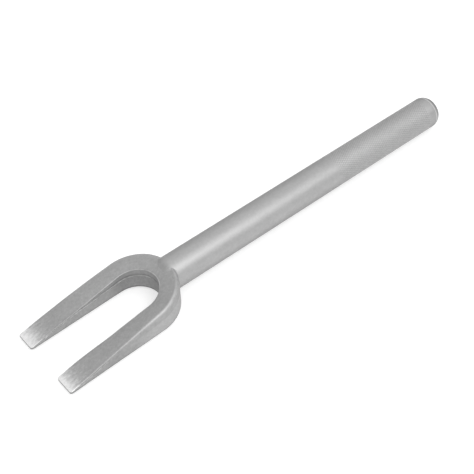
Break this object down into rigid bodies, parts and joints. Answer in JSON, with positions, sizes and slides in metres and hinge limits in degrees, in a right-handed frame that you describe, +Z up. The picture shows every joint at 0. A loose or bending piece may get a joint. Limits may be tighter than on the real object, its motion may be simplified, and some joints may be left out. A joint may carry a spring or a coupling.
{
  "type": "ball joint separator",
  "caption": "Steel wedge fork on a round bar with a diamond-knurled grip, hammered between a ball joint and its knuckle to force them apart.",
  "frame": {"origin": "centre of the flat striking face at the end of the handle, on the handle's axis", "axes": "+X along the handle's axis and out through the striking face, the tines point to -X; +Z up, on the sloping side of the wedge; +Y across the tines"},
  "size_m": [0.3, 0.0538, 0.0208],
  "materials": {
    "forged_steel": "drop-forged and shot-blasted satin grey, tine tips ground bright",
    "weld_steel": "blended weld, satin grey, slightly darker in the seam",
    "turned_steel": "turned satin bar, fine diamond knurl towards the struck end"
  },
  "bodies": {
    "root": {"fork_head": "forged_steel", "weld_ring": "weld_steel", "handle_bar": "turned_steel"}
  },
  "joints": []
}
